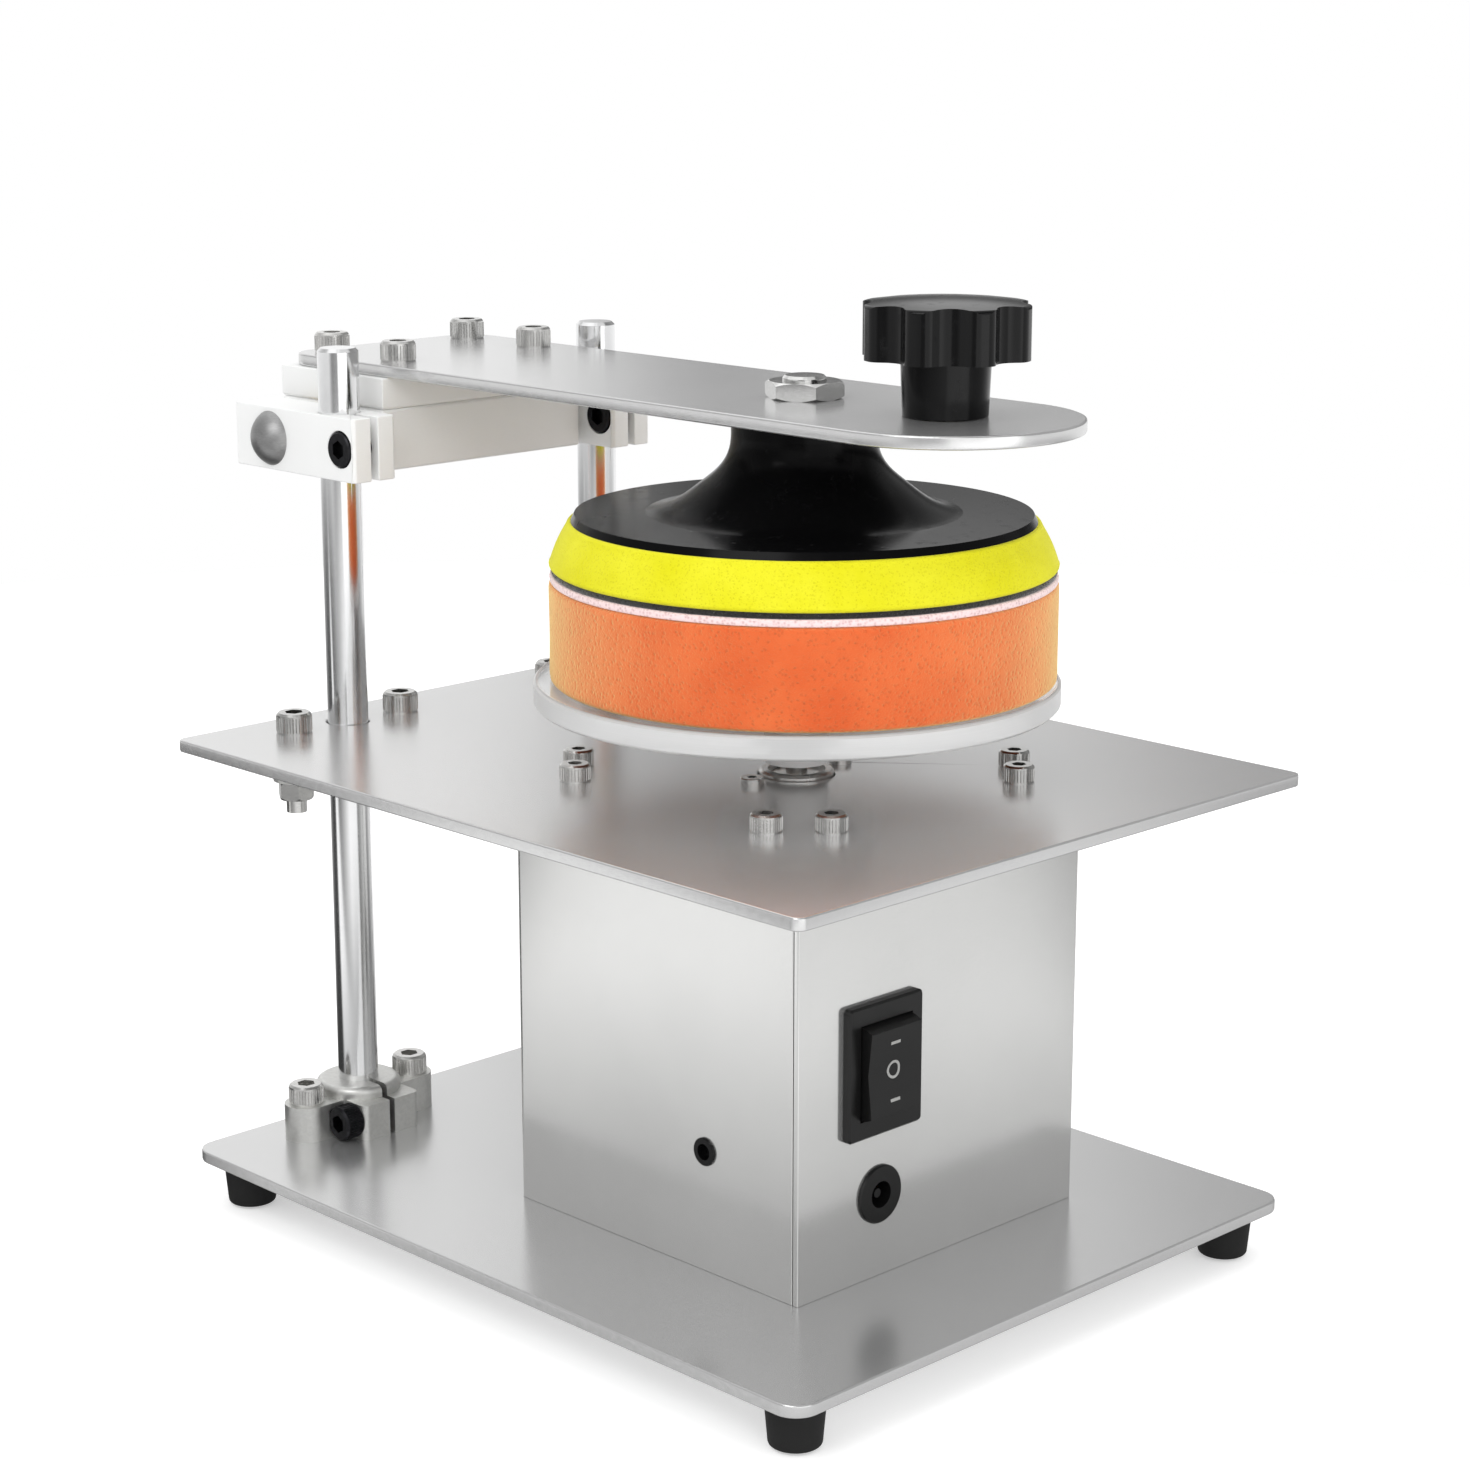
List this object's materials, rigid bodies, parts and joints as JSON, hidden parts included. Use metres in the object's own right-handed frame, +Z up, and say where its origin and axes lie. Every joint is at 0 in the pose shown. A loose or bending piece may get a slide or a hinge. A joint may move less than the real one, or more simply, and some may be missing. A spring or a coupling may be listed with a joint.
{
  "type": "disc repair machine",
  "caption": "Bench machine that polishes scratched optical discs: a motor turntable under a sponge head on a hinged, height-set arm.",
  "frame": {"origin": "middle of the machine's footprint, at the underside of the feet", "axes": "+Z up, +Y to the rear where the guide rods stand, -Y to the front with the switch, +X to the right seen from the front"},
  "size_m": [0.167, 0.233, 0.2316],
  "materials": {
    "sheet_aluminium": "satin",
    "milled_aluminium": "satin",
    "polished_steel": "polished",
    "bright_steel": "satin",
    "black_steel": "satin",
    "cast_grey": "matte",
    "black_rubber": "matte",
    "black_plastic": "gloss",
    "clear_acrylic": "gloss",
    "copper": "satin",
    "brass": "satin",
    "hook_fabric": "matte",
    "loop_fabric": "matte",
    "yellow_foam": "matte",
    "orange_sponge": "matte"
  },
  "bodies": {
    "base": {"base_plate": "sheet_aluminium", "rubber_feet": "black_rubber", "foot_screws": "bright_steel", "base_screws": "bright_steel", "housing_wrap": "sheet_aluminium", "front_panel": "sheet_aluminium", "corner_blocks": "milled_aluminium", "side_plug": "black_plastic", "table_plate": "sheet_aluminium", "table_screws": "bright_steel", "guide_rod_left": "polished_steel", "guide_rod_right": "polished_steel", "lower_flange_left": "cast_grey", "lower_flange_right": "cast_grey", "upper_flange_left": "cast_grey", "upper_flange_right": "cast_grey", "lower_flange_bolts": "bright_steel", "lower_flange_nuts": "bright_steel", "upper_flange_bolts": "bright_steel", "upper_flange_nuts": "bright_steel", "flange_clamp_screws": "black_steel", "motor_can": "bright_steel", "motor_end_cap": "black_plastic", "motor_magnets": "black_steel", "motor_brushes": "copper", "motor_screws": "bright_steel", "switch_body": "black_plastic", "power_jack": "black_plastic", "jack_nut": "bright_steel"},
    "turntable": {"motor_shaft": "bright_steel", "motor_armature": "copper", "commutator": "copper", "turntable_hub": "milled_aluminium", "hub_set_screw": "black_steel", "turntable_disc": "clear_acrylic", "centre_cap": "milled_aluminium"},
    "rocker": {"switch_rocker": "black_plastic"},
    "carriage": {"clamp_block_left": "milled_aluminium", "clamp_block_right": "milled_aluminium", "clamp_screws": "black_steel", "hinge_pin": "bright_steel"},
    "arm": {"hinge_block": "milled_aluminium", "pivot_bushes": "brass", "arm_spacer": "milled_aluminium", "arm_plate": "sheet_aluminium", "arm_screws": "bright_steel", "spindle_bolt": "bright_steel", "spindle_sleeve": "bright_steel", "spindle_nut": "bright_steel", "bearing_inner_rings": "bright_steel", "knob_screw": "bright_steel"},
    "polishing_head": {"backing_plate": "black_plastic", "bearing_outer_rings": "bright_steel", "bearing_balls": "bright_steel", "foam_layer": "yellow_foam", "hook_layer": "hook_fabric", "loop_layer": "loop_fabric", "polishing_sponge": "orange_sponge"},
    "knob": {"star_knob": "black_plastic", "knob_insert": "brass"}
  },
  "joints": [
    {"name": "turntable_spin", "type": "hinge", "parent": "base", "child": "turntable", "pos_m": [0, -0.034, 0.1417], "axis": [0, 0, 1], "continuous": true},
    {"name": "switch_tilt", "type": "hinge", "parent": "base", "child": "rocker", "pos_m": [-0.0206, -0.0805, 0.064], "axis": [1, 0, 0], "range_deg": [-12, 12]},
    {"name": "carriage_lift", "type": "slide", "parent": "base", "child": "carriage", "axis": [0, 0, 1], "range_m": [0, 0.014]},
    {"name": "arm_swing", "type": "hinge", "parent": "carriage", "child": "arm", "pos_m": [0, 0.1, 0.1877], "axis": [-1, 0, 0], "range_deg": [0, 100]},
    {"name": "head_spin", "type": "hinge", "parent": "arm", "child": "polishing_head", "pos_m": [0, -0.036, 0.183], "axis": [0, 0, 1], "continuous": true},
    {"name": "knob_turn", "type": "hinge", "parent": "arm", "child": "knob", "pos_m": [0, -0.0784, 0.213], "axis": [0, 0, 1], "continuous": true}
  ]
}
